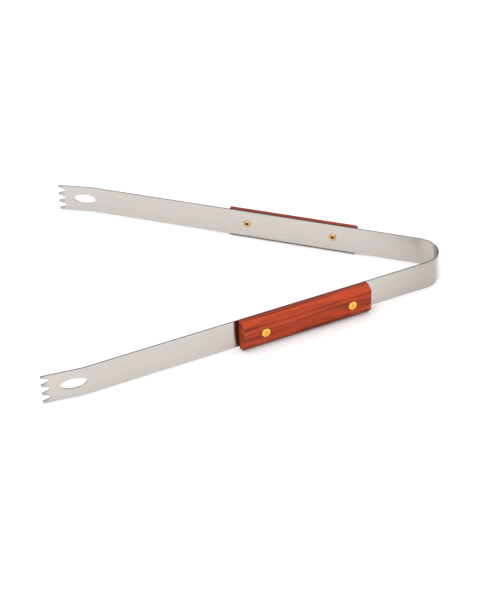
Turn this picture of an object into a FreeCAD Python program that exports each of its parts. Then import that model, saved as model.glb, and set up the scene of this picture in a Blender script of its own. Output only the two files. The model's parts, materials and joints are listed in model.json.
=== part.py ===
import FreeCAD, Part
import math
import os
import Sketcher

# Spring tongs bent from one strip of stainless steel: a round bow at +X, two straight arms that
# spread towards -X, and a jaw at each arm's end, bent inwards, with four teeth and an oval hole.
# A hardwood scale is riveted to the outer face of each arm with two semi-tubular brass rivets.
# The tongs stand on the lower edges of the scales. The origin is under the middle of the
# bounding box, the plane y = 0 runs between the arms, and +Z is across the strip.
# The strip is one piece. It is cut into a bow and two arms at the two planes about which it flexes.

SIZES = {
    "strip_width": 24.6,
    "strip_thickness": 1.0,
    "bow_inner_radius": 21.0,
    "bow_angle": 133.2,            # turn of the bow's arc, from one straight arm to the other
    "flex_distance": 10.0,         # straight strip from the bow's arc to the flex plane
    "arm_length": 291.0,           # straight strip from the flex plane to the jaw bend
    "jaw_bend_angle": 8.8,
    "jaw_bend_radius": 45.0,
    "jaw_length": 28.0,            # flat strip from the jaw bend to the tooth tips
    "notch_count": 3.0,
    "notch_pitch": 7.5,
    "notch_mouth": 5.5,
    "notch_depth": 6.1,
    "notch_root_radius": 1.4,
    "tooth_corner_radius": 0.5,
    "oval_length": 20.6,
    "oval_width": 8.8,
    "oval_distance": 24.6,         # from the tooth tips to the oval's centre
    "scale_length": 115.2,
    "scale_height": 26.4,
    "scale_thickness": 9.5,
    "scale_top_flat": 4.3,         # square part of the upper long edge, next to the strip
    "scale_top_chamfer": 3.4,      # height of the chamfer along the upper long edge
    "scale_foot_flat": 4.9,
    "scale_foot_chamfer": 4.6,
    "scale_edge_radius": 0.8,
    "scale_drop": 1.6,             # how far the scale reaches below the strip
    "front_scale_shift": 0.5,      # towards the jaws, from the middle between the two rivets
    "rear_scale_shift": -1.7,
    "rivet_distance": 105.2,       # from the flex plane to the middle between the two rivets
    "rivet_spacing": 78.5,
    "shank_radius": 2.0,
    "shank_clearance": 0.05,
    "head_radius": 3.7,
    "head_height": 0.8,
    "head_rim": 0.3,
    "tail_radius": 3.4,
    "bore_radius": 1.2,
    "bore_depth": 2.5,             # from the strip's inner face into the shank
}

REAR = 1
FRONT = -1
ORIGIN = (-1, 1)                   # a sketch's own origin, as geometry and point number
X_AXIS = -1
Y_AXIS = -2
UP = FreeCAD.Vector(0, 0, 1)
TOLERANCE = 1e-6

doc = FreeCAD.newDocument("spring_tongs")


def make_sheet():
    sheet = doc.addObject("Spreadsheet::Sheet", "Sizes")
    for row, (alias, value) in enumerate(SIZES.items(), start=1):
        sheet.set(f"A{row}", alias)
        sheet.set(f"B{row}", str(value))
        sheet.setAlias(f"B{row}", alias)
    doc.recompute()
    return sheet


sizes = make_sheet()


def make_body(name):
    body = doc.addObject("PartDesign::Body", name)
    body.Label = name
    return body


def add_sketch(body, name, plane_role):
    """An empty sketch on one of the body's own origin planes."""
    sketch = body.newObject("Sketcher::SketchObject", f"{body.Name}_{name}")
    plane = [p for p in body.Origin.OriginFeatures if p.Role == plane_role][0]
    sketch.AttachmentSupport = [(plane, "")]
    sketch.MapMode = "FlatFace"
    return sketch


def constrain(sketch, *constraints):
    for kind, *values in constraints:
        sketch.addConstraint(Sketcher.Constraint(kind, *values))


def drive(sketch, name, expression, kind, *values):
    """A named dimension of the sketch, bound to an expression of the sheet's cells."""
    index = sketch.addConstraint(Sketcher.Constraint(kind, *values))
    sketch.renameConstraint(index, name)
    sketch.setExpression(f"Constraints.{name}", expression)


def point(x, y):
    return FreeCAD.Vector(x, y, 0)


def line(start, end):
    return Part.LineSegment(start, end)


def arc(centre, radius, start_degrees, end_degrees):
    circle = Part.Circle(centre, UP, radius)
    return Part.ArcOfCircle(circle, math.radians(start_degrees), math.radians(end_degrees))


def pad(body, sketch, length):
    feature = body.newObject("PartDesign::Pad", f"{body.Name}_pad")
    feature.Profile = sketch
    feature.setExpression("Length", length)
    doc.recompute()
    return feature


def cut_through(body, sketch, name):
    """Cuts the sketch's outline through the body, both ways from the sketch's plane."""
    feature = body.newObject("PartDesign::Pocket", f"{body.Name}_{name}")
    feature.Profile = sketch
    feature.Type = "ThroughAll"
    feature.SideType = "Symmetric"
    doc.recompute()
    return feature


def bent_strip(body, side, first_length, bend_radius, bend_angle, last_length):
    """Strip that runs along +X, bends towards +Y (side 1) or -Y (side -1) and runs straight on.

    Its inner face, on the hollow side of the bend, starts at the origin. The four sizes are the
    names of cells.
    """
    first = getattr(sizes, first_length)
    radius = getattr(sizes, bend_radius)
    angle = getattr(sizes, bend_angle)
    last = getattr(sizes, last_length)
    thickness = sizes.strip_thickness
    centre = point(first, side * radius)
    turn = FreeCAD.Rotation(UP, side * angle)
    inner_bend_end = centre + turn.multVec(point(0, -side * radius))
    outer_bend_end = centre + turn.multVec(point(0, -side * (radius + thickness)))
    run_out = turn.multVec(point(last, 0))
    outer_corner = point(0, -side * thickness)
    arc_degrees = (-90, angle - 90) if side > 0 else (90 - angle, 90)
    bend_start, bend_end = (1, 2) if side > 0 else (2, 1)

    sketch = add_sketch(body, "plan", "XY_Plane")
    inner_first, inner_bend, inner_last, tip, outer_last, outer_bend, outer_first, root = range(8)
    sketch.addGeometry([
        line(point(0, 0), point(first, 0)),
        arc(centre, radius, *arc_degrees),
        line(inner_bend_end, inner_bend_end + run_out),
        line(inner_bend_end + run_out, outer_bend_end + run_out),
        line(outer_bend_end + run_out, outer_bend_end),
        arc(centre, radius + thickness, *arc_degrees),
        line(point(first, -side * thickness), outer_corner),
        line(outer_corner, point(0, 0)),
    ], False)
    constrain(
        sketch,
        ("Coincident", inner_first, 1, *ORIGIN),
        ("Horizontal", inner_first),
        ("Tangent", inner_first, 2, inner_bend, bend_start),
        ("Tangent", inner_bend, bend_end, inner_last, 1),
        ("Coincident", inner_last, 2, tip, 1),
        ("Coincident", tip, 2, outer_last, 1),
        ("Tangent", outer_last, 2, outer_bend, bend_end),
        ("Tangent", outer_bend, bend_start, outer_first, 1),
        ("Coincident", outer_first, 2, root, 1),
        ("Coincident", root, 2, inner_first, 1),
        ("Coincident", inner_bend, 3, outer_bend, 3),
        ("Horizontal", outer_first),
        ("Vertical", root),
        ("Perpendicular", inner_last, tip),
        ("Parallel", inner_last, outer_last),
    )
    drive(sketch, "first_length", f"Sizes.{first_length}", "Distance", inner_first, first)
    drive(sketch, "bend_radius", f"Sizes.{bend_radius}", "Radius", inner_bend, radius)
    drive(sketch, "bend_angle", f"{side} * Sizes.{bend_angle}", "Angle", inner_last,
          math.radians(side * angle))
    drive(sketch, "last_length", f"Sizes.{last_length}", "Distance", inner_last, last)
    drive(sketch, "thickness", "Sizes.strip_thickness", "Distance", root, thickness)
    return pad(body, sketch, "Sizes.strip_width")


def rivet_holes(body, middle, height):
    """Two holes along Y, rivet_spacing apart. middle and height are expressions."""
    sketch = add_sketch(body, "rivet_holes", "XZ_Plane")
    radius = sizes.shank_radius + sizes.shank_clearance
    for index, sign in enumerate((-1, 1)):
        sketch.addGeometry(Part.Circle(point(sizes.rivet_distance, 1), UP, radius), False)
        drive(sketch, f"along_{index}", f"{middle} + {sign} * Sizes.rivet_spacing / 2",
              "DistanceX", *ORIGIN, index, 3, sizes.rivet_distance)
        drive(sketch, f"height_{index}", height, "DistanceY", *ORIGIN, index, 3, 1)
        drive(sketch, f"radius_{index}", "Sizes.shank_radius + Sizes.shank_clearance",
              "Radius", index, radius)
    return cut_through(body, sketch, "rivet_hole_pocket")


def jaw_tip(side):
    """Where the jaw's inner face ends at the tooth tips, in the arm's frame."""
    angle = math.radians(sizes.jaw_bend_angle)
    along = (sizes.arm_length + sizes.jaw_bend_radius * math.sin(angle)
             + sizes.jaw_length * math.cos(angle))
    inwards = sizes.jaw_bend_radius * (1 - math.cos(angle)) + sizes.jaw_length * math.sin(angle)
    return point(along, side * inwards)


def jaw_sketch(body, name, side):
    """A sketch on the jaw's inner face: x = 0 at the tooth tips, -x towards the bend, y up."""
    tip = jaw_tip(side)
    sketch = add_sketch(body, name, "XZ_Plane")
    sketch.AttachmentOffset = FreeCAD.Placement(
        FreeCAD.Vector(tip.x, 0, -tip.y),
        FreeCAD.Rotation(FreeCAD.Vector(0, 1, 0), side * sizes.jaw_bend_angle),
    )
    return sketch


def jaw_teeth(body, side):
    """V notches with round roots, cut into the jaw's end, leave the teeth."""
    sketch = jaw_sketch(body, "notch", side)
    lower, root, upper, mouth = range(4)
    half_mouth = sizes.notch_mouth / 2
    radius = sizes.notch_root_radius
    depth = sizes.notch_depth
    first_height = sizes.strip_width / 2 - sizes.notch_pitch
    centre = point(radius - depth, first_height)
    slope = math.degrees(math.atan2(half_mouth - radius, depth))
    sketch.addGeometry([
        line(point(0, first_height - half_mouth), centre + point(0, -radius)),
        arc(centre, radius, 90 + slope, 270 - slope),
        line(centre + point(0, radius), point(0, first_height + half_mouth)),
        line(point(0, first_height + half_mouth), point(0, first_height - half_mouth)),
    ], False)
    constrain(
        sketch,
        ("Tangent", lower, 2, root, 2),
        ("Tangent", root, 1, upper, 1),
        ("Coincident", upper, 2, mouth, 1),
        ("Coincident", mouth, 2, lower, 1),
        ("Vertical", mouth),
        ("PointOnObject", mouth, 1, Y_AXIS),
        ("Equal", lower, upper),
    )
    drive(sketch, "mouth", "Sizes.notch_mouth", "Distance", mouth, 2 * half_mouth)
    drive(sketch, "root_radius", "Sizes.notch_root_radius", "Radius", root, radius)
    drive(sketch, "root_distance", "Sizes.notch_depth - Sizes.notch_root_radius",
          "DistanceX", root, 3, *ORIGIN, depth - radius)
    drive(sketch, "height", "Sizes.strip_width / 2 - Sizes.notch_pitch",
          "DistanceY", *ORIGIN, root, 3, first_height)
    notch = cut_through(body, sketch, "notch_pocket")

    pattern = body.newObject("PartDesign::LinearPattern", f"{body.Name}_notches")
    pattern.Originals = [notch]
    pattern.Direction = (sketch, ["V_Axis"])
    pattern.setExpression("Length", "(Sizes.notch_count - 1) * Sizes.notch_pitch")
    pattern.setExpression("Occurrences", "Sizes.notch_count")
    body.Tip = pattern
    doc.recompute()
    return pattern


def round_teeth(body, side, jaw):
    """Rounds the corners of the tooth tips, the edges that run through the strip there."""
    turn = FreeCAD.Rotation(UP, side * sizes.jaw_bend_angle)
    to_jaw = FreeCAD.Placement(jaw_tip(side), turn).inverse()

    def at_tip(edge):
        ends = [to_jaw.multVec(vertex.Point) for vertex in edge.Vertexes]
        through_strip = abs(edge.Length - sizes.strip_thickness) < TOLERANCE
        return through_strip and all(abs(end.x) < TOLERANCE for end in ends)

    corners = [f"Edge{i}" for i, edge in enumerate(jaw.Shape.Edges, start=1) if at_tip(edge)]
    fillet = body.newObject("PartDesign::Fillet", f"{body.Name}_tooth_corners")
    fillet.Base = (jaw, corners)
    fillet.setExpression("Radius", "Sizes.tooth_corner_radius")
    body.Tip = fillet
    doc.recompute()


def jaw_oval(body, side):
    sketch = jaw_sketch(body, "oval", side)
    centre = point(-sizes.oval_distance, sizes.strip_width / 2)
    oval = sketch.addGeometry(
        Part.Ellipse(centre, sizes.oval_length / 2, sizes.oval_width / 2), False)
    sketch.exposeInternalGeometry(oval)
    long_axis, short_axis = oval + 1, oval + 2
    constrain(sketch, ("Horizontal", long_axis))
    drive(sketch, "length", "Sizes.oval_length", "Distance", long_axis, sizes.oval_length)
    drive(sketch, "width", "Sizes.oval_width", "Distance", short_axis, sizes.oval_width)
    drive(sketch, "distance", "Sizes.oval_distance", "DistanceX", oval, 3, *ORIGIN,
          sizes.oval_distance)
    drive(sketch, "height", "Sizes.strip_width / 2", "DistanceY", *ORIGIN, oval, 3,
          sizes.strip_width / 2)
    cut_through(body, sketch, "oval_pocket")


def make_bow():
    body = make_body("spring_bow")
    bent_strip(body, REAR, "flex_distance", "bow_inner_radius", "bow_angle", "flex_distance")
    return body


def make_arm(name, side):
    """Arm and jaw. It starts at the flex plane and runs along +X; inwards is +Y times side."""
    body = make_body(name)
    bent_strip(body, side, "arm_length", "jaw_bend_radius", "jaw_bend_angle", "jaw_length")
    rivet_holes(body, "Sizes.rivet_distance", "Sizes.strip_width / 2")
    jaw_oval(body, side)
    jaw = jaw_teeth(body, side)
    round_teeth(body, side, jaw)
    return body


def scale_section(body, side):
    """Outline across the scale: square edges next to the strip, long chamfers further out."""
    height = sizes.scale_height
    thickness = sizes.scale_thickness
    top_flat, top_rise = sizes.scale_top_flat, sizes.scale_top_chamfer
    foot_flat, foot_rise = sizes.scale_foot_flat, sizes.scale_foot_chamfer
    outline = [(0, 0), (0, height), (top_flat, height), (thickness, height - top_rise),
               (thickness, foot_rise), (foot_flat, 0)]
    corners = [point(-side * depth, level) for depth, level in outline]
    inner, top, upper_chamfer, outer, lower_chamfer, foot = range(6)

    sketch = add_sketch(body, "section", "YZ_Plane")
    sketch.addGeometry([line(a, b) for a, b in zip(corners, corners[1:] + corners[:1])], False)
    constrain(sketch, *[("Coincident", edge, 2, (edge + 1) % 6, 1) for edge in range(6)])
    constrain(
        sketch,
        ("Coincident", inner, 1, *ORIGIN),
        ("Vertical", inner),
        ("Vertical", outer),
        ("Horizontal", top),
        ("Horizontal", foot),
    )
    drive(sketch, "height", "Sizes.scale_height", "Distance", inner, height)
    drive(sketch, "thickness", "Sizes.scale_thickness", "Distance", outer, 1, inner, thickness)
    drive(sketch, "top_flat", "Sizes.scale_top_flat", "Distance", top, top_flat)
    drive(sketch, "foot_flat", "Sizes.scale_foot_flat", "Distance", foot, foot_flat)
    drive(sketch, "top_chamfer", "Sizes.scale_top_chamfer",
          "DistanceY", upper_chamfer, 2, upper_chamfer, 1, top_rise)
    drive(sketch, "foot_chamfer", "Sizes.scale_foot_chamfer",
          "DistanceY", lower_chamfer, 2, lower_chamfer, 1, foot_rise)
    return sketch


def round_edges(body, block):
    """Rounds every edge of the scale that doesn't lie against the strip."""

    def off_strip(edge):
        return any(abs(vertex.Point.y) > TOLERANCE for vertex in edge.Vertexes)

    edges = [f"Edge{i}" for i, edge in enumerate(block.Shape.Edges, start=1) if off_strip(edge)]
    fillet = body.newObject("PartDesign::Fillet", f"{body.Name}_edges")
    fillet.Base = (block, edges)
    fillet.setExpression("Radius", "Sizes.scale_edge_radius")
    doc.recompute()


def make_scale(name, side, shift):
    """Hardwood scale. Its inner face is y = 0; it starts at its end next to the bow."""
    body = make_body(name)
    block = pad(body, scale_section(body, side), "Sizes.scale_length")
    round_edges(body, block)
    rivet_holes(body, f"Sizes.scale_length / 2 - Sizes.{shift}",
                "Sizes.scale_drop + Sizes.strip_width / 2")
    return body


def make_rivet(name):
    """Semi-tubular rivet about Z: domed head on z = 0, tail rolled outwards round its bore."""
    grip = sizes.scale_thickness + sizes.strip_thickness
    floor = sizes.bore_depth - grip
    head, rim, rise = sizes.head_radius, sizes.head_rim, sizes.head_height - sizes.head_rim
    shank, tail, bore = sizes.shank_radius, sizes.tail_radius, sizes.bore_radius
    dome_radius = (head ** 2 + rise ** 2) / (2 * rise)
    dome_centre = point(0, rim + rise - dome_radius)
    dome_start = math.degrees(math.asin((dome_radius - rise) / dome_radius))

    body = make_body(name)
    sketch = add_sketch(body, "profile", "XZ_Plane")
    axis, dome, edge, seat, shaft, flange, roll, wall, bottom = range(9)
    sketch.addGeometry([
        line(point(0, floor), point(0, rim + rise)),
        arc(dome_centre, dome_radius, dome_start, 90),
        line(point(head, rim), point(head, 0)),
        line(point(head, 0), point(shank, 0)),
        line(point(shank, 0), point(shank, -grip)),
        line(point(shank, -grip), point(tail, -grip)),
        arc(point((bore + tail) / 2, -grip), (tail - bore) / 2, 180, 360),
        line(point(bore, -grip), point(bore, floor)),
        line(point(bore, floor), point(0, floor)),
    ], False)
    constrain(
        sketch,
        ("Coincident", axis, 2, dome, 2),
        ("Coincident", dome, 1, edge, 1),
        ("Coincident", edge, 2, seat, 1),
        ("Coincident", seat, 2, shaft, 1),
        ("Coincident", shaft, 2, flange, 1),
        ("Coincident", flange, 2, roll, 2),
        ("Coincident", roll, 1, wall, 1),
        ("Coincident", wall, 2, bottom, 1),
        ("Coincident", bottom, 2, axis, 1),
        ("Vertical", axis),
        ("PointOnObject", axis, 1, Y_AXIS),
        ("PointOnObject", dome, 3, Y_AXIS),
        ("Vertical", edge),
        ("Vertical", shaft),
        ("Vertical", wall),
        ("Horizontal", seat),
        ("Horizontal", flange),
        ("Horizontal", bottom),
        ("PointOnObject", seat, 1, X_AXIS),
        ("PointOnObject", roll, 3, flange),
        ("Horizontal", roll, 1, roll, 2),
    )
    drive(sketch, "head_height", "Sizes.head_height", "DistanceY", *ORIGIN, axis, 2, rim + rise)
    drive(sketch, "head_radius", "Sizes.head_radius", "DistanceX", *ORIGIN, edge, 1, head)
    drive(sketch, "head_rim", "Sizes.head_rim", "Distance", edge, rim)
    drive(sketch, "shank_radius", "Sizes.shank_radius", "DistanceX", *ORIGIN, shaft, 1, shank)
    drive(sketch, "grip", "Sizes.scale_thickness + Sizes.strip_thickness",
          "DistanceY", shaft, 2, *ORIGIN, grip)
    drive(sketch, "tail_radius", "Sizes.tail_radius", "DistanceX", *ORIGIN, flange, 2, tail)
    drive(sketch, "bore_radius", "Sizes.bore_radius", "DistanceX", *ORIGIN, wall, 1, bore)
    drive(sketch, "bore_floor", "Sizes.scale_thickness + Sizes.strip_thickness - Sizes.bore_depth",
          "DistanceY", axis, 1, *ORIGIN, -floor)

    turned = body.newObject("PartDesign::Revolution", f"{name}_turned")
    turned.Profile = sketch
    turned.ReferenceAxis = (sketch, ["V_Axis"])
    turned.Angle = 360
    doc.recompute()
    return body


def half_spread():
    """Angle between one straight arm and the plane y = 0, in degrees."""
    return 90 - sizes.bow_angle / 2


def flex_point(side):
    """Where the strip's inner face meets the flex plane, from the bow's centre."""
    spread = math.radians(half_spread())
    outwards = FreeCAD.Vector(math.sin(spread), side * math.cos(spread), 0)
    along = FreeCAD.Vector(-math.cos(spread), side * math.sin(spread), 0)
    return outwards * sizes.bow_inner_radius + along * sizes.flex_distance


def arm_rotation(side):
    return FreeCAD.Rotation(UP, side * (180 - half_spread()))


def bow_centre():
    """The bow's centre, which puts the origin midway between the bow and the tooth tips."""
    tip_x = (flex_point(REAR) + arm_rotation(REAR).multVec(jaw_tip(REAR))).x
    bow_x = sizes.bow_inner_radius + sizes.strip_thickness
    return FreeCAD.Vector(-(tip_x + bow_x) / 2, 0, sizes.scale_drop)


def place(body, side, offset, turn=FreeCAD.Rotation()):
    """Puts a body on an arm. offset and turn are in the arm's frame, from its flex plane."""
    arm = FreeCAD.Placement(bow_centre() + flex_point(side), arm_rotation(side))
    body.Placement = arm.multiply(FreeCAD.Placement(offset, turn))


def make_side(prefix, side, scale_shift):
    """One arm with its scale and its two rivets."""
    arm = make_arm(f"{prefix}_arm", side)
    place(arm, side, FreeCAD.Vector(0, 0, 0))

    scale = make_scale(f"{prefix}_scale", side, scale_shift)
    scale_start = (sizes.rivet_distance + getattr(sizes, scale_shift) - sizes.scale_length / 2)
    outer_face = -side * sizes.strip_thickness
    place(scale, side, FreeCAD.Vector(scale_start, outer_face, -sizes.scale_drop))

    head_seat = outer_face - side * sizes.scale_thickness
    head_outwards = FreeCAD.Rotation(UP, FreeCAD.Vector(0, -side, 0))
    rivets = []
    for end, sign in (("bow", -1), ("jaw", 1)):
        rivet = make_rivet(f"{prefix}_{end}_rivet")
        along = sizes.rivet_distance + sign * sizes.rivet_spacing / 2
        spot = FreeCAD.Vector(along, head_seat, sizes.strip_width / 2)
        place(rivet, side, spot, head_outwards)
        rivets.append(rivet)
    return [arm, scale, *rivets]


def check(bodies):
    doc.recompute()
    failed = [o.Label for o in doc.Objects if {"Invalid", "Error"} & set(o.State)]
    loose = [o.Label for o in doc.Objects
             if o.TypeId == "Sketcher::SketchObject" and not o.FullyConstrained]
    broken = [b.Label for b in bodies if b.Shape.isNull() or not b.Shape.isValid()]
    if failed or loose or broken:
        raise RuntimeError(f"failed: {failed}, not fully constrained: {loose}, broken: {broken}")


def export(bodies):
    os.makedirs("parts", exist_ok=True)
    for body in bodies:
        body.Shape.exportStep(f"parts/{body.Label}.step")


bow = make_bow()
bow.Placement = FreeCAD.Placement(bow_centre() + flex_point(FRONT),
                                  FreeCAD.Rotation(UP, half_spread()))
pieces = [bow]
pieces += make_side("front", FRONT, "front_scale_shift")
pieces += make_side("rear", REAR, "rear_scale_shift")
check(pieces)
export(pieces)
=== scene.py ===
import json
import math

import bmesh
import bpy
from mathutils import Matrix, Quaternion, Vector


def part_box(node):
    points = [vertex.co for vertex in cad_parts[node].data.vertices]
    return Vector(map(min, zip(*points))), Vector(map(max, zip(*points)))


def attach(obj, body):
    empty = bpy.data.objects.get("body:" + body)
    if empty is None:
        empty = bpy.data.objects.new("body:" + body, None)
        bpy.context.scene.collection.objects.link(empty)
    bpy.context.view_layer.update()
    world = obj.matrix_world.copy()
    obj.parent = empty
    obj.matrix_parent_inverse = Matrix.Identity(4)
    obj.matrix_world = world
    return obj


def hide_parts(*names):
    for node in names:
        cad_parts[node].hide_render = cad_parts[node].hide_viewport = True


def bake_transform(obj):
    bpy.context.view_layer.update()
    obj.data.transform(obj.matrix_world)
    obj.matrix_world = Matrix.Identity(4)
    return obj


# Looks for a pair of long spring tongs: one bent strip of brushed stainless steel with toothed
# jaws, a red hardwood scale outside each arm, and two semi-tubular brass rivets in each scale.
# The strip, the scales and the rivets' profiles are drawn in millimetres, and scaled to metres
# as they are put in place.

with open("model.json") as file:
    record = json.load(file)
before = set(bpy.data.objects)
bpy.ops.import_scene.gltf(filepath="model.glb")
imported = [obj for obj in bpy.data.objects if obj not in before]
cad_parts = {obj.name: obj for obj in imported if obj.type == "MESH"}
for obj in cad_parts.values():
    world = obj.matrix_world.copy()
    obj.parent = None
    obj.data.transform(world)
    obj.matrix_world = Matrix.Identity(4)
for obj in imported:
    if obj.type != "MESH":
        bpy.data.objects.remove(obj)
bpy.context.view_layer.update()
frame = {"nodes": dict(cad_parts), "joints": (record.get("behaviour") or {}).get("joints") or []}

MM = 0.001
UP = Vector((0, 0, 1))
SIDES = {"front": -1, "rear": 1}
RIVET_ENDS = ("bow", "jaw")
SMOOTH_LIMIT = math.radians(50)    # faces that meet at less than this are shaded as one

# The strip, in millimetres.
STRIP_THICKNESS = 1.0
STRIP_EDGE_RADIUS = 0.14
BOW_RADIUS = 21.5                  # to the middle of the strip
FLEX_DISTANCE = 10.0               # straight strip from the bow to the flex plane
ARM_LENGTH = 291.0                 # straight strip from the flex plane to the jaw bend
JAW_BEND_RADIUS = 45.5
JAW_BEND = math.radians(8.8)
JAW_LENGTH = 28.0
NOTCH_COUNT = 3
NOTCH_PITCH = 7.5
NOTCH_MOUTH = 5.5
NOTCH_DEPTH = 6.1
NOTCH_ROOT_RADIUS = 1.4
TOOTH_CORNER_RADIUS = 0.5
OVAL_LENGTH = 20.6
OVAL_WIDTH = 8.8
OVAL_DISTANCE = 24.6               # from the tooth tips to the oval's centre
RIVET_HOLE_RADIUS = 2.05
EDGE_SHADE_WIDTH = 0.55                  # thin line of painted shade along the strip's long edges
DULL_REACH = 75.0                  # length of dulled strip each way from the bow's apex
DULL_TIP = 2.0                     # length of each tooth's tip that is dullest
REFLECTION_WIDTH = 5.0                    # painted dark reflection of a scale's jaw end, on the strip beside it

# How the flat strip is cut up so that it can bend, in millimetres.
SPARE_LENGTH = 2.0                 # drawn past the apex, then cut off square
BOW_STEPS = 32
FLEX_CUTS = 29                     # cuts across the straight strip beside the bow
FLEX_CUT_PITCH = 2.0
JAW_BEND_STEPS = 8
MERGE_DISTANCE = 0.001             # vertices nearer than this become one
END_TOLERANCE = 0.0001             # a face this near the apex closes the cut end

# The rivets, in millimetres.
HEAD_HEIGHT = 0.8
HEAD_RIM = 0.3
SHANK_RADIUS = 2.0
TAIL_RADIUS = 3.4
BORE_RADIUS = 1.2
TAIL_ROLL_RADIUS = (TAIL_RADIUS - BORE_RADIUS) / 2
BORE_DEPTH = 2.5
RIVET_GRIP = 10.5                  # scale and strip together, where the brass changes tone

# A scale's section, in millimetres: square edges next to the strip, then long chamfers.
SCALE_TOP_FLAT = 4.3
SCALE_TOP_CHAMFER = 3.4
SCALE_FOOT_FLAT = 4.9
SCALE_FOOT_CHAMFER = 4.6
SCALE_EDGE_RADIUS = 0.8

# How far the wood's grain wanders across the scale and up it, in millimetres.
GRAIN_SWAY_ACROSS = 7.0
GRAIN_SWAY_UP = 9.0


def centre_of(node):
    low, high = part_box(node)
    return (low + high) / 2


FLEX_POINT = {joint["child"]: Vector(joint["pos_m"]) for joint in frame["joints"]}
STRIP_LOW, STRIP_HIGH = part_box("rear_arm")
STRIP_WIDTH = (STRIP_HIGH.z - STRIP_LOW.z) / MM
BOW_APEX_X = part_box("spring_bow")[1].x / MM - STRIP_THICKNESS / 2


def along_arm(prefix):
    """Unit vector from the bow to the jaw."""
    return (centre_of(f"{prefix}_jaw_rivet") - centre_of(f"{prefix}_bow_rivet")).normalized()


def outwards(prefix):
    return SIDES[prefix] * along_arm(prefix).cross(UP)


def add_object(name, mesh):
    thing = bpy.data.objects.new(name, mesh)
    bpy.context.scene.collection.objects.link(thing)
    return thing


def write_attribute(mesh, name, kind, values, domain="POINT"):
    """Writes one value or vector for each vertex (or face), for the materials to read."""
    attribute = mesh.attributes.new(name, kind, domain)
    if kind == "FLOAT":
        attribute.data.foreach_set("value", values)
    else:
        attribute.data.foreach_set("vector", [number for vector in values for number in vector])


# ---------------------------------------------------------------- strip


def arm_slope():
    """Angle between the rear arm and the plane y = 0."""
    direction = along_arm("rear")
    return math.atan2(direction.y, -direction.x)


def arc_length_of_bow():
    """Length of half the bow's arc, from its apex to the straight strip."""
    return BOW_RADIUS * (math.pi / 2 - arm_slope())


def strip_run():
    """The strip's middle line from the apex of the bow to the teeth: (length, curvature)."""
    return [
        (arc_length_of_bow(), 1 / BOW_RADIUS),
        (FLEX_DISTANCE + ARM_LENGTH, 0),
        (JAW_BEND_RADIUS * JAW_BEND, 1 / JAW_BEND_RADIUS),
        (JAW_LENGTH, 0),
    ]


STRIP_RUN = strip_run()
STRIP_LENGTH = sum(length for length, _ in STRIP_RUN)
TO_FLEX = arc_length_of_bow() + FLEX_DISTANCE


def place_on_strip(distance):
    """Point on the rear half's middle line and its heading, at a distance from the apex."""
    x, y, heading = BOW_APEX_X, 0.0, math.pi / 2
    for length, curvature in STRIP_RUN:
        step = min(distance, length)
        if curvature:
            turned = heading + curvature * step
            x += (math.sin(turned) - math.sin(heading)) / curvature
            y -= (math.cos(turned) - math.cos(heading)) / curvature
            heading = turned
        else:
            x += math.cos(heading) * step
            y += math.sin(heading) * step
        distance -= step
        if distance <= 0:
            break
    return Vector((x, y, 0)), heading


def rounded(corners, steps=6):
    """Outline through corners (x, y, radius), each replaced by an arc of its radius."""
    points = []
    for index, (x, y, radius) in enumerate(corners):
        corner = Vector((x, y))
        if radius == 0:
            points.append(corner)
            continue
        before = (Vector(corners[index - 1][:2]) - corner).normalized()
        after = (Vector(corners[(index + 1) % len(corners)][:2]) - corner).normalized()
        half = before.angle(after) / 2
        centre = corner + (before + after).normalized() * (radius / math.sin(half))
        first = corner + before * (radius / math.tan(half)) - centre
        last = corner + after * (radius / math.tan(half)) - centre
        sweep = first.angle_signed(last)
        for step in range(steps + 1):
            turn = Matrix.Rotation(-sweep * step / steps, 2)
            points.append(centre + turn @ first)
    return points


def ellipse(x, y, half_length, half_width, count):
    angles = [2 * math.pi * step / count for step in range(count)]
    return [Vector((x + half_length * math.cos(a), y + half_width * math.sin(a)))
            for a in angles]


def notch_apex():
    """Distance from the tooth tips to where a notch's two straight sides would meet."""
    half_mouth = NOTCH_MOUTH / 2
    to_root = NOTCH_DEPTH - NOTCH_ROOT_RADIUS
    slope = math.acos(NOTCH_ROOT_RADIUS / math.hypot(half_mouth, to_root))
    slope -= math.atan2(to_root, half_mouth)
    return half_mouth / math.tan(slope)


def strip_outline(start):
    """Outer loop of the flat strip, from x = start to the teeth, then its holes."""
    end = STRIP_LENGTH
    centre_line = STRIP_WIDTH / 2
    corners = [(start, 0, 0), (end, 0, TOOTH_CORNER_RADIUS)]
    for index in range(NOTCH_COUNT):
        middle = centre_line + (index - (NOTCH_COUNT - 1) / 2) * NOTCH_PITCH
        corners += [
            (end, middle - NOTCH_MOUTH / 2, TOOTH_CORNER_RADIUS),
            (end - notch_apex(), middle, NOTCH_ROOT_RADIUS),
            (end, middle + NOTCH_MOUTH / 2, TOOTH_CORNER_RADIUS),
        ]
    corners += [(end, STRIP_WIDTH, TOOTH_CORNER_RADIUS), (start, STRIP_WIDTH, 0)]

    oval_x = end - OVAL_DISTANCE
    holes = [ellipse(oval_x, centre_line, OVAL_LENGTH / 2, OVAL_WIDTH / 2, count=72)]
    for rivet_end in RIVET_ENDS:
        from_flex = centre_of(f"rear_{rivet_end}_rivet") - FLEX_POINT["rear_arm"]
        distance = TO_FLEX + from_flex.dot(along_arm("rear")) / MM
        radius = RIVET_HOLE_RADIUS
        holes.append(ellipse(distance, centre_line, radius, radius, count=32))
    return [rounded(corners), *holes]


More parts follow.
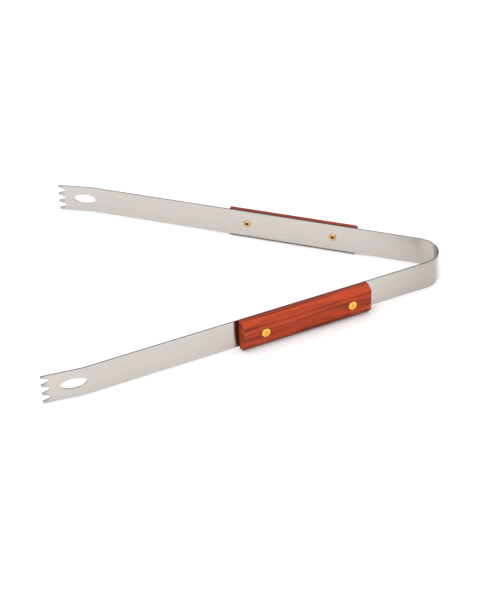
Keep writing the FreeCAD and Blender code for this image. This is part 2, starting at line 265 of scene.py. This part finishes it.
def flat_plate(loops, thickness, edge_radius):
    """Mesh of a plate about z = 0, cut to the first loop, with holes and rounded edges."""
    curve = bpy.data.curves.new("flat_plate", "CURVE")
    curve.dimensions = "2D"
    curve.fill_mode = "BOTH"
    curve.extrude = thickness / 2 - edge_radius
    curve.bevel_depth = edge_radius
    curve.bevel_resolution = 2
    curve.offset = -edge_radius
    for loop in loops:
        spline = curve.splines.new("POLY")
        spline.points.add(len(loop) - 1)
        for point, spot in zip(spline.points, loop):
            point.co = (spot.x, spot.y, 0, 1)
        spline.use_cyclic_u = True
    holder = add_object("flat_plate", curve)
    bpy.context.view_layer.update()
    mesh = bpy.data.meshes.new_from_object(holder)
    bpy.data.objects.remove(holder)
    bpy.data.curves.remove(curve)
    return mesh


def cut_stations():
    """Distances from the apex at which the strip needs vertices to bend."""
    bow, arm, jaw_bend, _ = [length for length, _ in STRIP_RUN]
    stations = [bow * step / BOW_STEPS for step in range(1, BOW_STEPS + 1)]
    stations += [bow + FLEX_CUT_PITCH * step for step in range(1, FLEX_CUTS + 1)]
    stations += [bow + arm + jaw_bend * step / JAW_BEND_STEPS
                 for step in range(JAW_BEND_STEPS + 1)]
    return stations


def outline_normal(vertex):
    """Normal of the flat plate: broad faces win, then the cut edges, then the rounding."""
    tolerance = 0.001
    broad = [face for face in vertex.link_faces if abs(face.normal.z) > 1 - tolerance]
    walls = [face for face in vertex.link_faces if abs(face.normal.z) < tolerance]
    faces = broad or walls or vertex.link_faces
    return sum((face.normal * face.calc_area() for face in faces), Vector()).normalized()


def cut_across(plate, distance, **options):
    """Adds vertices to a flat plate where x = distance."""
    everything = plate.verts[:] + plate.edges[:] + plate.faces[:]
    bmesh.ops.bisect_plane(plate, geom=everything, plane_co=(distance, 0, 0),
                           plane_no=(1, 0, 0), **options)


def flat_half():
    """Half of the strip before it is bent, the apex at x = 0, and its vertices' normals."""
    outline = strip_outline(start=-SPARE_LENGTH)
    flat = flat_plate(outline, STRIP_THICKNESS, STRIP_EDGE_RADIUS)
    plate = bmesh.new()
    plate.from_mesh(flat)
    bpy.data.meshes.remove(flat)
    bmesh.ops.remove_doubles(plate, verts=plate.verts, dist=MERGE_DISTANCE)
    cut_across(plate, 0, clear_inner=True)
    for distance in cut_stations():
        cut_across(plate, distance)
    plate.normal_update()
    normals = [outline_normal(vertex) for vertex in plate.verts]
    open_end = [edge for edge in plate.edges if edge.is_boundary]
    bmesh.ops.edgeloop_fill(plate, edges=open_end)
    return plate, normals


def bend(plate, normals, side):
    """Moves a flat half's vertices to the bent strip, and returns their turned normals."""
    bent_normals = []
    for vertex, normal in zip(plate.verts, normals):
        middle, heading = place_on_strip(vertex.co.x)
        tangent = Vector((math.cos(heading), math.sin(heading), 0))
        outward = tangent.cross(UP)
        height = STRIP_LOW.z + vertex.co.y * MM
        spot = (middle + outward * vertex.co.z) * MM
        vertex.co = (spot.x, side * spot.y, height)
        bent = tangent * normal.x + UP * normal.y + outward * normal.z
        bent_normals.append(Vector((bent.x, side * bent.y, bent.z)))
    if side < 0:
        bmesh.ops.reverse_faces(plate, faces=plate.faces[:])
    return bent_normals


def set_strip_normals(mesh, spots, normals, side):
    """Gives each corner its vertex's normal, and the square end at the apex a flat one."""
    end_normal = Vector((0, -side, 0))
    corner_normals = [None] * len(mesh.loops)
    for face in mesh.polygons:
        face.use_smooth = True
        on_end = all(spots[index].x < END_TOLERANCE for index in face.vertices)
        for loop in face.loop_indices:
            vertex_index = mesh.loops[loop].vertex_index
            corner_normals[loop] = end_normal if on_end else normals[vertex_index]
    mesh.normals_split_custom_set(corner_normals)


def strip_half(name, prefix):
    """Half of the strip, from the apex of the bow to the teeth, bent to its shape."""
    side = SIDES[prefix]
    plate, normals = flat_half()
    spots = [vertex.co.copy() for vertex in plate.verts]
    bent_normals = bend(plate, normals, side)
    mesh = bpy.data.meshes.new(name)
    plate.to_mesh(mesh)
    plate.free()
    set_strip_normals(mesh, spots, bent_normals, side)
    write_attribute(mesh, "place", "FLOAT_VECTOR",
                    [(side * spot.x, spot.y, spot.z) for spot in spots])
    write_attribute(mesh, "cut_edge", "FLOAT", [1 - abs(normal.z) for normal in normals])
    return add_object(name, mesh)


def make_strip():
    """Two halves that meet at the bow's apex, each running round the bow and along its arm to the
    teeth.
    """
    steel = brushed_steel()
    for prefix in SIDES:
        half = strip_half(f"{prefix}_strip", prefix)
        half.data.materials.append(steel)
        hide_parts("spring_bow", f"{prefix}_arm")
        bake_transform(half)


# ---------------------------------------------------------------- scales


def reach(node, axis):
    """Lowest and highest distance of a CAD node's vertices along an axis, in millimetres."""
    distances = [vertex.co.dot(axis) / MM for vertex in frame["nodes"][node].data.vertices]
    return min(distances), max(distances)


def scale_block(length, thickness, height):
    """Block along X from 0, its inner face at y = 0, with rounded outer edges."""
    section = [
        (0, 0),
        (0, height),
        (SCALE_TOP_FLAT, height),
        (thickness, height - SCALE_TOP_CHAMFER),
        (thickness, SCALE_FOOT_CHAMFER),
        (SCALE_FOOT_FLAT, 0),
    ]
    block = bmesh.new()
    ends = [[block.verts.new((x, depth, level)) for depth, level in section]
            for x in (0, length)]
    block.faces.new(ends[0])
    block.faces.new(reversed(ends[1]))
    for index in range(len(section)):
        after = (index + 1) % len(section)
        block.faces.new((ends[0][after], ends[0][index], ends[1][index], ends[1][after]))
    bmesh.ops.recalc_face_normals(block, faces=block.faces)
    outer_edges = [edge for edge in block.edges if any(vertex.co.y > 0 for vertex in edge.verts)]
    bmesh.ops.bevel(block, geom=outer_edges, offset=SCALE_EDGE_RADIUS, segments=5, profile=0.5,
                    affect="EDGES", clamp_overlap=True)
    return block


def soft_normals(mesh):
    """Corner normals averaged by area over the faces that are shaded as one."""
    around = [[] for _ in mesh.vertices]
    for face in mesh.polygons:
        face.use_smooth = True
        for index in face.vertices:
            around[index].append(face)
    normals = []
    for face in mesh.polygons:
        for index in face.vertices:
            near = [other for other in around[index]
                    if other.normal.angle(face.normal, 0) < SMOOTH_LIMIT]
            normals.append(sum((other.normal * other.area for other in near), Vector()))
    mesh.normals_split_custom_set([normal.normalized() for normal in normals])


def make_scale(prefix, wood):
    """Hardwood scale with eased edges, its grain along the arm."""
    node = f"{prefix}_scale"
    along, outward = along_arm(prefix), outwards(prefix)
    start, end = reach(node, along)
    inner, outer = reach(node, outward)
    low, high = reach(node, UP)
    block = scale_block(end - start, outer - inner, high - low)

    mesh = bpy.data.meshes.new(f"{node}_wood")
    block.to_mesh(mesh)
    block.free()
    bow_rivet, jaw_rivet = [centre_of(f"{prefix}_{rivet_end}_rivet") for rivet_end in RIVET_ENDS]
    middle = (bow_rivet + jaw_rivet) / 2 / MM
    corner = Vector((start - middle.dot(along), 0, low - middle.z))
    write_attribute(mesh, "place", "FLOAT_VECTOR", [vertex.co + corner for vertex in mesh.vertices])
    write_attribute(mesh, "facing", "FLOAT_VECTOR", [face.normal for face in mesh.polygons],
                    domain="FACE")

    axes = Matrix((along, outward, UP)).transposed().to_4x4()
    origin = along * start + outward * inner + UP * low
    mesh.transform(Matrix.Translation(origin * MM) @ axes @ Matrix.Scale(MM, 4))
    if axes.determinant() < 0:
        mesh.flip_normals()
    soft_normals(mesh)
    mesh.materials.append(wood)
    piece = add_object(f"{node}_wood", mesh)
    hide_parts(node)
    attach(piece, f"{prefix}_arm")


# ---------------------------------------------------------------- rivets


def head_radius_of(rivet):
    low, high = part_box(rivet)
    return (high.z - low.z) / 2 / MM


def arc_points(centre_x, centre_y, radius, start, end, steps):
    angles = [start + (end - start) * step / steps for step in range(steps + 1)]
    return [(centre_x + radius * math.cos(a), centre_y + radius * math.sin(a)) for a in angles]


def rivet_profile(grip, head_radius):
    """(radius, height) from the top of the head to the floor of the bore; head seat at 0."""
    rise = HEAD_HEIGHT - HEAD_RIM
    rim_round = HEAD_RIM / 2
    dome = (head_radius ** 2 + rise ** 2) / (2 * rise)
    up, down = math.pi / 2, -math.pi / 2
    rim_angle = math.asin((head_radius - rim_round) / dome)
    top = arc_points(0, HEAD_HEIGHT - dome, dome, up, up - rim_angle, steps=10)
    rim = arc_points(head_radius - rim_round, rim_round, rim_round, up, down, steps=5)
    roll = arc_points(BORE_RADIUS + TAIL_ROLL_RADIUS, -grip, TAIL_ROLL_RADIUS, 0, -math.pi,
                      steps=10)
    floor = BORE_DEPTH - grip
    return [*top, *rim, (SHANK_RADIUS, 0), (SHANK_RADIUS, -grip), *roll,
            (BORE_RADIUS, floor), (0, floor)]


def lathe(name, profile, steps=48):
    """Solid of revolution about Z from a profile that starts and ends on the axis."""
    solid = bmesh.new()
    ends = [solid.verts.new((0, 0, height)) for _, height in (profile[0], profile[-1])]
    rings = []
    for radius, height in profile[1:-1]:
        angles = [2 * math.pi * step / steps for step in range(steps)]
        rings.append([solid.verts.new((radius * math.cos(a), radius * math.sin(a), height))
                      for a in angles])
    for step in range(steps):
        after = (step + 1) % steps
        solid.faces.new((ends[0], rings[0][step], rings[0][after]))
        solid.faces.new((ends[1], rings[-1][after], rings[-1][step]))
        for upper, lower in zip(rings, rings[1:]):
            solid.faces.new((upper[step], lower[step], lower[after], upper[after]))
    mesh = bpy.data.meshes.new(name)
    solid.to_mesh(mesh)
    solid.free()
    for face in mesh.polygons:
        face.use_smooth = True
    mesh.set_sharp_from_angle(angle=SMOOTH_LIMIT)
    return mesh


def make_rivet(prefix, rivet_end, brass):
    """Brass rivet, its head seated on the scale's outer face."""
    node = f"{prefix}_{rivet_end}_rivet"
    outward = outwards(prefix)
    tail_end, head_top = reach(node, outward)
    grip = head_top - tail_end - HEAD_HEIGHT - TAIL_ROLL_RADIUS
    mesh = lathe(f"{node}_brass", rivet_profile(grip, head_radius_of(node)))
    write_attribute(mesh, "place", "FLOAT_VECTOR", [vertex.co.copy() for vertex in mesh.vertices])
    centre = centre_of(node)
    seat = centre + outward * ((head_top - HEAD_HEIGHT) * MM - centre.dot(outward))
    turn = UP.rotation_difference(outward).to_matrix().to_4x4()
    mesh.transform(Matrix.Translation(seat) @ turn @ Matrix.Scale(MM, 4))
    mesh.materials.append(brass)
    piece = add_object(f"{node}_brass", mesh)
    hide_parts(node)
    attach(piece, f"{prefix}_arm")


# ---------------------------------------------------------------- materials

# Steel colours.
STEEL_DARKER = (0.560, 0.524, 0.493)
STEEL_PALER = (0.595, 0.554, 0.523)
COOL_TINT = (0.94, 0.965, 0.99)
WARM_TINT = (1.0, 0.98, 0.955)
STEEL_LINE = (0.45, 0.42, 0.39)
STEEL_DULLED = (0.36, 0.325, 0.285)
# Painted reflection: the dark end of a scale, seen in the steel beside it.
STEEL_PAINTED_REFLECTION = (0.12, 0.10, 0.09)
# Painted shade in a thin line along the strip's long edges.
STEEL_EDGE_SHADE = (0.22, 0.205, 0.19)
# Painted shade on the cut edges, which face up and down.
STEEL_CUT_EDGE_SHADE = (0.09, 0.085, 0.08)

# Wood colours.
WOOD_DARKEST = (0.09, 0.014, 0.008)
WOOD_DEEP = (0.30, 0.037, 0.014)
WOOD_RED = (0.40, 0.050, 0.018)
WOOD_PALEST = (0.48, 0.066, 0.023)
WOOD_STREAK = (0.19, 0.024, 0.011)
WOOD_PATCH = (0.42, 0.060, 0.022)
WOOD_PORE = (0.07, 0.012, 0.007)
WOOD_AT_RIVET = (0.05, 0.012, 0.007)
# Painted light on the top chamfer.
WOOD_CHAMFER_LIGHT = (0.50, 0.066, 0.024)
# Painted shade on the foot, which faces down.
WOOD_FOOT_SHADE = (0.10, 0.020, 0.012)
# Painted shade on the face that lies against the strip.
WOOD_INNER_SHADE = (0.14, 0.105, 0.095)
# Painted shade on the flats that face up or down, darkest by the strip.
WOOD_FLAT_SHADE = (0.12, 0.032, 0.022)
# Darker end grain, partly the wood's own tone and partly painted shade.
WOOD_END_GRAIN_AND_SHADE = (0.10, 0.022, 0.012)

# Brass colours.
BRASS_STAINED = (0.72, 0.35, 0.025)
BRASS_CLEAN = (0.82, 0.43, 0.05)
# Paler towards the rim of each head.
BRASS_PALE_RIM = (0.95, 0.56, 0.11)
BRASS_TAIL = (0.54, 0.35, 0.16)
# Painted light inside the tail's bore, which would be dark.
BRASS_BORE_LIGHT = (0.75, 0.52, 0.25)


class Surface:
    """A material with a Principled shader, and short calls to add and link nodes."""

    def __init__(self, name, **shader_values):
        self.material = bpy.data.materials.new(name)
        self.material.use_nodes = True
        self.tree = self.material.node_tree
        self.shader = self.tree.nodes["Principled BSDF"]
        for socket, value in shader_values.items():
            self.shader.inputs[socket.replace("_", " ")].default_value = value

    def node(self, kind, inputs, **settings):
        made = self.tree.nodes.new(f"ShaderNode{kind}")
        for key, value in settings.items():
            setattr(made, key, value)
        for key, value in inputs.items():
            if isinstance(value, bpy.types.NodeSocket):
                self.tree.links.new(value, made.inputs[key])
            else:
                made.inputs[key].default_value = value
        return made

    def attribute(self, name, output="Vector"):
        return self.node("Attribute", {}, attribute_name=name).outputs[output]

    def stretched(self, vector, scale):
        return self.node("VectorMath", {0: vector, 1: scale}, operation="MULTIPLY").outputs[0]

    def split(self, vector):
        """The X, Y and Z sockets of a vector."""
        return self.node("SeparateXYZ", {"Vector": vector}).outputs

    def noise(self, vector, scale, detail=3.0, roughness=0.5):
        made = self.node("TexNoise", {"Vector": vector, "Scale": scale, "Detail": detail,
                                      "Roughness": roughness})
        return made.outputs["Fac"]

    def ramp(self, value, *stops):
        """Maps a value to colours: stops are (position, colour)."""
        made = self.node("ValToRGB", {"Fac": value})
        elements = made.color_ramp.elements
        while len(elements) < len(stops):
            elements.new(1.0)
        for element, (position, colour) in zip(elements, stops):
            element.position = position
            element.color = (*colour, 1.0)
        return made.outputs["Color"]

    def mix(self, factor, first, second, blend="MIX"):
        """Blends two colours, which are a Mix node's inputs 6 and 7 and its output 2."""
        made = self.node("Mix", {}, data_type="RGBA", blend_type=blend)
        for key, value in ((0, factor), (6, first), (7, second)):
            if isinstance(value, bpy.types.NodeSocket):
                self.tree.links.new(value, made.inputs[key])
            elif key == 0:
                made.inputs[key].default_value = value
            else:
                made.inputs[key].default_value = (*value, 1.0)
        return made.outputs[2]

    def remap(self, value, low, high, to_low=0.0, to_high=1.0):
        made = self.node("MapRange", {"Value": value, "From Min": low, "From Max": high,
                                      "To Min": to_low, "To Max": to_high})
        return made.outputs["Result"]

    def math(self, operation, *values):
        made = self.node("Math", dict(enumerate(values)), operation=operation)
        return made.outputs[0]

    def hypotenuse(self, first, second):
        squares = [self.math("POWER", leg, 2.0) for leg in (first, second)]
        return self.math("SQRT", self.math("ADD", *squares))

    def bump(self, height, strength, distance):
        inputs = {"Height": height, "Strength": strength, "Distance": distance}
        return self.node("Bump", inputs).outputs["Normal"]

    def finish(self, **sockets):
        for socket, value in sockets.items():
            self.tree.links.new(value, self.shader.inputs[socket.replace("_", " ")])
        return self.material


def brushed_steel():
    """Cold rolled stainless strip: smooth, with faint lengthwise lines and rougher cut edges
    painted dark as shade; painted shade along the long edges and a painted dark reflection beside
    each scale's jaw end.
    """
    steel = Surface("brushed_steel", Metallic=1.0)
    place = steel.attribute("place")
    fine = steel.noise(steel.stretched(place, (0.03, 5.0, 5.0)), 1.0, detail=4.0)
    broad = steel.noise(steel.stretched(place, (0.008, 0.55, 0.5)), 1.0, detail=3.0)
    smudge = steel.noise(steel.stretched(place, (0.03, 0.05, 0.05)), 1.0, detail=4.0)
    grey = steel.ramp(broad, (0.3, STEEL_DARKER), (0.7, STEEL_PALER))
    tint = steel.ramp(smudge, (0.35, COOL_TINT), (0.65, WARM_TINT))
    toned = steel.mix(1.0, grey, tint, blend="MULTIPLY")
    lined = steel.mix(steel.remap(fine, 0.55, 0.8, 0.0, 0.25), toned, STEEL_LINE)
    handled = steel.mix(near_bow(steel, place), lined, STEEL_DULLED)
    # Painted dark reflection of each scale's jaw end on the strip beside it.
    with_reflection = steel.mix(reflection_beside_scales(steel, place), handled, STEEL_PAINTED_REFLECTION)
    # Painted shade in a thin line along the long edges.
    edge_shaded = steel.mix(edge_shade_and_tooth_tips(steel, place), with_reflection, STEEL_EDGE_SHADE)
    edge = steel.remap(steel.attribute("cut_edge", "Fac"), 0.05, 0.7)
    # Cut edges painted dark as shade; they are also made rougher below.
    colour = steel.mix(edge, edge_shaded, STEEL_CUT_EDGE_SHADE)
    polish = steel.math("ADD", steel.remap(fine, 0.2, 0.8, 0.10, 0.18),
                        steel.remap(smudge, 0.3, 0.7, -0.02, 0.05))
    roughness = steel.math("MAXIMUM", polish, steel.math("MULTIPLY", edge, 0.4))
    normal = steel.bump(fine, 0.12, 0.00002)
    return steel.finish(Base_Color=colour, Roughness=roughness, Normal=normal)


def edge_shade_and_tooth_tips(steel, place):
    """Up to 0.5 in a thin line of painted shade along the strip's long edges, and 0.4 at the
    teeth's tips.
    """
    axes = steel.split(place)
    off_middle = steel.math("ABSOLUTE", steel.math("SUBTRACT", axes["Y"], STRIP_WIDTH / 2))
    inner, edge = STRIP_WIDTH / 2 - EDGE_SHADE_WIDTH, STRIP_WIDTH / 2 - STRIP_EDGE_RADIUS
    edge_shade = steel.remap(off_middle, inner, edge, 0.0, 0.5)
    from_apex = steel.math("ABSOLUTE", axes["X"])
    notch_root, tip = STRIP_LENGTH - NOTCH_DEPTH, STRIP_LENGTH - DULL_TIP
    tooth = steel.remap(from_apex, notch_root, tip, 0.0, 0.4)
    return steel.math("MAXIMUM", edge_shade, tooth)


def near_bow(steel, place):
    """Up to 0.6 round the bow's outside, which looks duller; less on its inside."""
    axes = steel.split(place)
    close = steel.remap(steel.math("ABSOLUTE", axes["X"]), DULL_REACH, DULL_REACH / 3, 0.0, 0.6)
    outside = steel.remap(axes["Z"], 0.0, STRIP_THICKNESS / 2, 0.4, 1.0)
    return steel.math("MULTIPLY", close, outside)


def reflection_beside_scales(steel, place):
    """1 on the strip's outer face in the corner at each scale's jaw end: a painted dark reflection
    of the scale's end in the steel.
    """
    axes = steel.split(place)
    reflection_mask = 0.0
    for prefix, side in SIDES.items():
        along = along_arm(prefix)
        jaw_end = reach(f"{prefix}_scale", along)[1] - FLEX_POINT[f"{prefix}_arm"].dot(along) / MM
        distance = steel.math("SUBTRACT", axes["X"], side * (TO_FLEX + jaw_end))
        near = steel.remap(steel.math("ABSOLUTE", distance), REFLECTION_WIDTH, REFLECTION_WIDTH / 2)
        reflection_mask = steel.math("MAXIMUM", reflection_mask, near)
    return steel.math("MULTIPLY", reflection_mask, steel.remap(axes["Z"], 0.0, STRIP_THICKNESS / 2))


def red_hardwood():
    """Oiled red hardwood, its grain along the scale, darker at the rivets, with painted light and
    shade.
    """
    wood = Surface("red_hardwood", Specular_IOR_Level=0.08)
    place = wood.attribute("place")
    sway = wood.noise(wood.stretched(place, (0.010, 0.05, 0.05)), 1.0, detail=1.0)
    offset = wood.node("CombineXYZ", {
        "Y": wood.remap(sway, 0.0, 1.0, -GRAIN_SWAY_ACROSS, GRAIN_SWAY_ACROSS),
        "Z": wood.remap(sway, 0.0, 1.0, -GRAIN_SWAY_UP, GRAIN_SWAY_UP),
    }).outputs[0]
    swayed = wood.node("VectorMath", {0: place, 1: offset}, operation="ADD").outputs[0]
    rings = wood.noise(wood.stretched(swayed, (0.004, 0.30, 0.30)), 1.0, detail=3.0,
                       roughness=0.55)
    fibre = wood.noise(wood.stretched(place, (0.02, 2.0, 2.0)), 1.0, detail=5.0, roughness=0.6)
    pores = wood.noise(wood.stretched(place, (0.16, 2.6, 2.6)), 1.0, detail=3.0)
    patches = wood.noise(wood.stretched(place, (0.035, 0.10, 0.10)), 1.0, detail=3.0)

    body = wood.ramp(rings, (0.36, WOOD_DARKEST), (0.46, WOOD_DEEP), (0.55, WOOD_RED),
                     (0.70, WOOD_PALEST))
    streaked = wood.mix(wood.remap(fibre, 0.45, 0.70, 0.0, 0.65), body, WOOD_STREAK)
    varied = wood.mix(wood.remap(patches, 0.3, 0.7, 0.0, 0.35), streaked, WOOD_PATCH)
    pore_mask = wood.remap(pores, 0.62, 0.70)
    pored = wood.mix(wood.math("MULTIPLY", pore_mask, 0.6), varied, WOOD_PORE)
    # Painted light and shade by the way each face looks, and darker end grain.
    lit_and_shaded = lit_shaded_and_end_grain(wood, place, pored)
    colour = wood.mix(rivet_ring(wood, place), lit_and_shaded, WOOD_AT_RIVET)
    roughness = wood.remap(fibre, 0.2, 0.8, 0.45, 0.65)
    height = wood.math("SUBTRACT", fibre, wood.math("MULTIPLY", pore_mask, 0.8))
    normal = wood.bump(height, 0.35, 0.00012)
    return wood.finish(Base_Color=colour, Roughness=roughness, Normal=normal)


def lit_shaded_and_end_grain(wood, place, colour):
    """Paints light on the top chamfer and shade on the foot, the face on the strip and the flats by
    the strip; darkens end grain, partly as painted shade.
    """
    facing = wood.split(wood.attribute("facing"))
    slant = wood.math("ABSOLUTE", facing["Z"])
    # Painted light on the top chamfer, which faces up and out.
    chamfer_light = wood.math("MULTIPLY", wood.remap(facing["Z"], 0.2, 0.5), wood.remap(slant, 0.95, 0.8))
    chamfer_lit = wood.mix(wood.math("MULTIPLY", chamfer_light, 0.6), colour, WOOD_CHAMFER_LIGHT)
    # Painted shade on faces that point down.
    foot = wood.remap(facing["Z"], -0.3, -0.6, 0.0, 0.6)
    foot_shaded = wood.mix(foot, chamfer_lit, WOOD_FOOT_SHADE)
    # Painted shade on the inward face, next to the strip.
    inner_shade = wood.remap(facing["Y"], -0.5, -0.9, 0.0, 0.85)
    inner_shaded = wood.mix(inner_shade, foot_shaded, WOOD_INNER_SHADE)

    # Painted shade on the flats that face up or down, more of it by the strip.
    up_or_down = wood.remap(slant, 0.90, 0.99)
    depth = wood.split(place)["Y"]
    by_strip = wood.remap(depth, 0.7 * SCALE_TOP_FLAT, 0.2 * SCALE_TOP_FLAT, 0.2, 0.85)
    flat_shaded = wood.mix(wood.math("MULTIPLY", up_or_down, by_strip), inner_shaded, WOOD_FLAT_SHADE)
    # End grain darkened, partly as its own tone and partly as painted shade.
    end_grain_and_shade = wood.remap(wood.math("ABSOLUTE", facing["X"]), 0.5, 0.9, 0.0, 0.25)
    return wood.mix(end_grain_and_shade, flat_shaded, WOOD_END_GRAIN_AND_SHADE)


def rivet_ring(wood, place):
    """0.85 in a thin ring round each rivet's head, fading to 0 outwards."""
    half_spacing = (centre_of("rear_jaw_rivet") - centre_of("rear_bow_rivet")).length / 2 / MM
    head_radius = head_radius_of("rear_bow_rivet")
    axes = wood.split(place)
    along = wood.math("SUBTRACT", wood.math("ABSOLUTE", axes["X"]), half_spacing)
    distance = wood.hypotenuse(along, axes["Z"])
    return wood.remap(distance, head_radius + 0.1, head_radius + 0.9, 0.85, 0.0)


def plain_brass():
    """Bright brass with faint turning marks, paler towards the head's rim, duller on the tail, with
    painted light in the bore.
    """
    brass = Surface("plain_brass", Metallic=1.0)
    place = brass.attribute("place")
    axes = brass.split(place)
    radius = brass.hypotenuse(axes["X"], axes["Y"])
    marks = brass.noise(brass.node("CombineXYZ", {"X": radius, "Y": axes["Z"]}).outputs[0], 7.0)
    stain = brass.noise(place, 0.9, detail=4.0)
    crown = brass.ramp(stain, (0.3, BRASS_STAINED), (0.7, BRASS_CLEAN))
    bright = brass.mix(brass.remap(radius, 1.6, 2.8), crown, BRASS_PALE_RIM)
    tail = brass.remap(axes["Z"], 1 - RIVET_GRIP, -RIVET_GRIP)
    # Painted light inside the bore.
    bore_light = brass.math("MULTIPLY", brass.remap(radius, 1.5 * BORE_RADIUS, BORE_RADIUS),
                         brass.remap(axes["Z"], -0.5 * RIVET_GRIP, -0.7 * RIVET_GRIP))
    dull = brass.mix(brass.math("MULTIPLY", tail, 0.8), bright, BRASS_TAIL)
    colour = brass.mix(brass.math("MULTIPLY", bore_light, 0.7), dull, BRASS_BORE_LIGHT)
    roughness = brass.remap(marks, 0.2, 0.8, 0.24, 0.42)
    normal = brass.bump(marks, 0.3, 0.00003)
    return brass.finish(Base_Color=colour, Roughness=roughness, Normal=normal)


def white_sheet():
    """Pale matt paper for the floor."""
    paper = Surface("white_sheet", Roughness=0.9)
    place = paper.node("TexCoord", {}).outputs["Object"]
    fibres = paper.noise(place, 400.0)
    colour = paper.ramp(fibres, (0.3, (0.94, 0.94, 0.94)), (0.7, (0.96, 0.96, 0.96)))
    return paper.finish(Base_Color=colour)


# ---------------------------------------------------------------- stage

FLOOR_SIZE = 8.0
FLOOR_DROP = 0.0002                # keeps the floor clear of the edges that stand on it
WORLD_LEVEL = 0.92


def make_floor():
    mesh = bpy.data.meshes.new("floor")
    half = FLOOR_SIZE / 2
    corners = [(-half, -half, 0), (half, -half, 0), (half, half, 0), (-half, half, 0)]
    mesh.from_pydata(corners, [], [(0, 1, 2, 3)])
    mesh.materials.append(white_sheet())
    floor = add_object("floor", mesh)
    floor.location.z = -FLOOR_DROP


def area_light(name, location, size, power):
    """White rectangular light that faces the origin."""
    light = bpy.data.lights.new(name, "AREA")
    light.shape = "RECTANGLE"
    light.size, light.size_y = size
    light.energy = power
    lamp = add_object(name, light)
    lamp.location = location
    inwards = Vector() - Vector(location)
    lamp.rotation_euler = inwards.to_track_quat("-Z", "Y").to_euler()


def make_lights():
    world = bpy.data.worlds.new("studio")
    world.use_nodes = True
    world.node_tree.nodes["Background"].inputs["Color"].default_value = (1, 1, 1, 1)
    world.node_tree.nodes["Background"].inputs["Strength"].default_value = WORLD_LEVEL
    bpy.context.scene.world = world
    area_light("overhead_softbox", (-0.3, 0.0, 2.5), (2.5, 2.5), 11.0)
    area_light("front_softbox", (-1.0, -3.2, 2.6), (2.4, 1.6), 80.0)


# The camera looks along the azimuth (0 is +Y, positive turns to +X) and down by the pitch.
CAMERA_PLACE = Vector((-0.04685, -1.02947, 0.65793))
CAMERA_AZIMUTH = math.radians(2.50)
CAMERA_PITCH = math.radians(33.08)
CAMERA_ROLL = math.radians(-1.89)
CAMERA_LENS = 87.33


def make_camera():
    camera = bpy.data.cameras.new("camera")
    camera.lens = CAMERA_LENS
    camera.clip_start = 0.01
    holder = add_object("camera", camera)
    flat = Vector((math.sin(CAMERA_AZIMUTH), math.cos(CAMERA_AZIMUTH), 0))
    sight = flat * math.cos(CAMERA_PITCH) - UP * math.sin(CAMERA_PITCH)
    holder.location = CAMERA_PLACE
    holder.rotation_mode = "QUATERNION"
    level = sight.to_track_quat("-Z", "Y")
    holder.rotation_quaternion = level @ Quaternion((0, 0, 1), CAMERA_ROLL)
    bpy.context.scene.camera = holder


make_camera()
make_strip()
red_wood = red_hardwood()
brass_metal = plain_brass()
for arm_side in SIDES:
    make_scale(arm_side, red_wood)
    for arm_end in RIVET_ENDS:
        make_rivet(arm_side, arm_end, brass_metal)
make_floor()
make_lights()
bpy.context.scene.view_settings.view_transform = "Standard"
